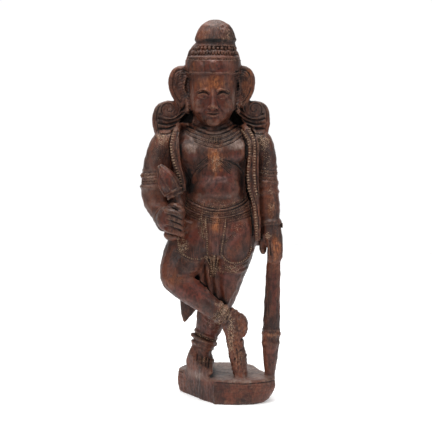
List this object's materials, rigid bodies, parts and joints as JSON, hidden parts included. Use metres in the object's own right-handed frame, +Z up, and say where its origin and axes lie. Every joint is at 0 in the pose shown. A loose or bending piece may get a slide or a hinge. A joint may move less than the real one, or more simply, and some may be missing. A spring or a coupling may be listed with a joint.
{
  "type": "dvarapala figure",
  "caption": "Carved wooden door guardian standing cross-legged on a low plinth, one hand on an upright club and the other holding a lotus bud.",
  "frame": {"origin": "middle of the plinth's underside", "axes": "+Z up; the figure looks along -Y, so its right hand with the lotus is at -X and its left hand with the club is at +X"},
  "size_m": [0.1894, 0.1106, 0.5003],
  "materials": {
    "carved_wood": "old dark brown wood, satin where handled, dusty in the hollows"
  },
  "bodies": {
    "root": {"dvarapala_figure": "carved_wood"}
  },
  "joints": []
}
